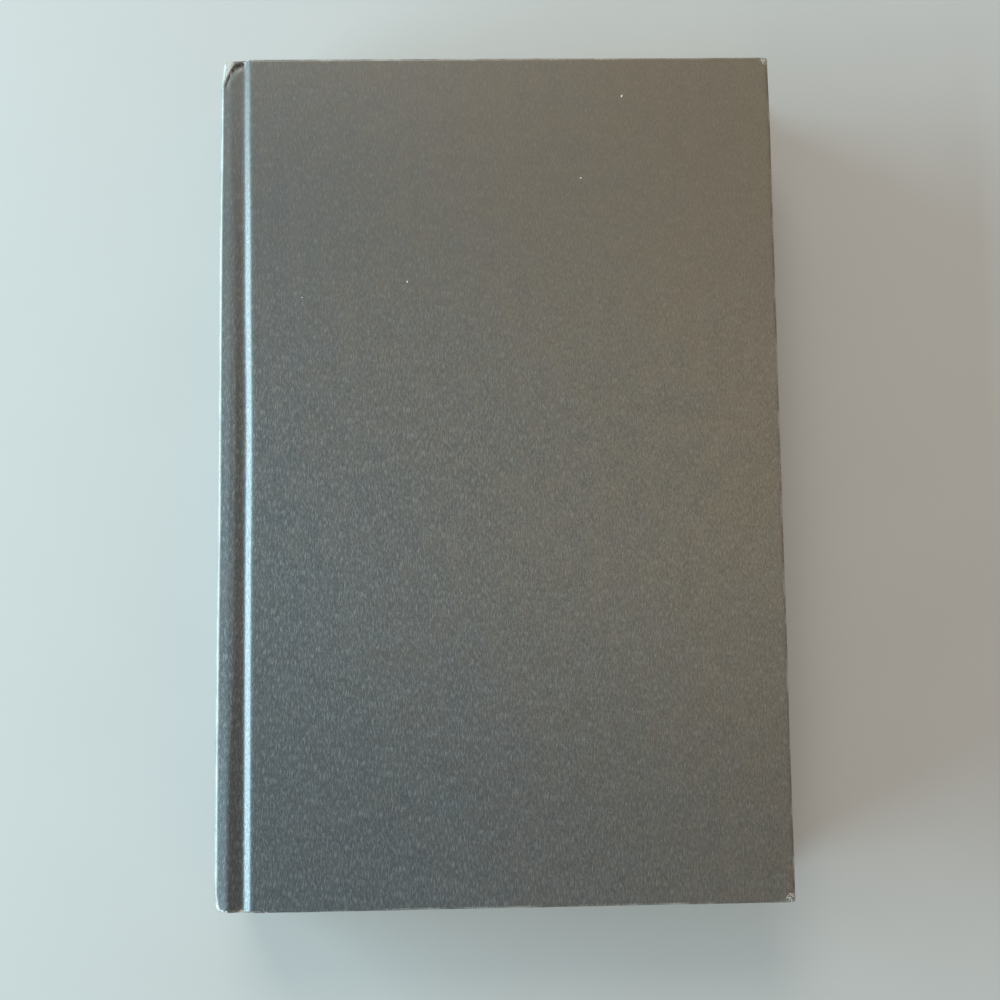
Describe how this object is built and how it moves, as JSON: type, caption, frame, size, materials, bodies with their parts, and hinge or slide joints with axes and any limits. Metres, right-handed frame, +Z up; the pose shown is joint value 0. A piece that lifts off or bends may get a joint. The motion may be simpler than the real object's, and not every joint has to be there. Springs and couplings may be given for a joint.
{
  "type": "hardback book",
  "caption": "Closed hardback book with a flat spine, grooved joints and plain covers that open on the sewn page block.",
  "frame": {"origin": "underside of the back cover, at the middle of its outline", "axes": "+X from the spine to the fore edge, +Y from tail to head, +Z up through the closed book"},
  "size_m": [0.16, 0.241, 0.0289],
  "materials": {
    "case_paper": "textured",
    "binders_board": "matte",
    "page_paper": "matte",
    "endpaper": "matte",
    "mull_cloth": "matte",
    "lining_paper": "matte",
    "band_cloth": "woven"
  },
  "bodies": {
    "pages": {"text_block": "page_paper", "front_flyleaf": "endpaper", "back_flyleaf": "endpaper", "front_endpaper_fold": "endpaper", "back_endpaper_fold": "endpaper", "spine_board": "binders_board", "front_joint_paper": "case_paper", "back_joint_paper": "case_paper", "spine_paper": "case_paper", "spine_mull": "mull_cloth", "front_joint_mull": "mull_cloth", "back_joint_mull": "mull_cloth", "spine_lining": "lining_paper", "head_band": "band_cloth", "tail_band": "band_cloth"},
    "front_cover": {"front_board": "binders_board", "front_cover_paper": "case_paper", "front_pastedown": "endpaper", "front_mull_flange": "mull_cloth"},
    "back_cover": {"back_board": "binders_board", "back_cover_paper": "case_paper", "back_pastedown": "endpaper", "back_mull_flange": "mull_cloth"}
  },
  "joints": [
    {"name": "front_cover_hinge", "type": "hinge", "parent": "pages", "child": "front_cover", "pos_m": [-0.07662, 0, 0.0273], "axis": [0, -1, 0], "range_deg": [0, 179], "deforming": ["front_joint_paper", "front_joint_mull", "front_endpaper_fold"]},
    {"name": "back_cover_hinge", "type": "hinge", "parent": "pages", "child": "back_cover", "pos_m": [-0.07662, 0, 0.0016], "axis": [0, 1, 0], "range_deg": [0, 179], "deforming": ["back_joint_paper", "back_joint_mull", "back_endpaper_fold"]}
  ]
}
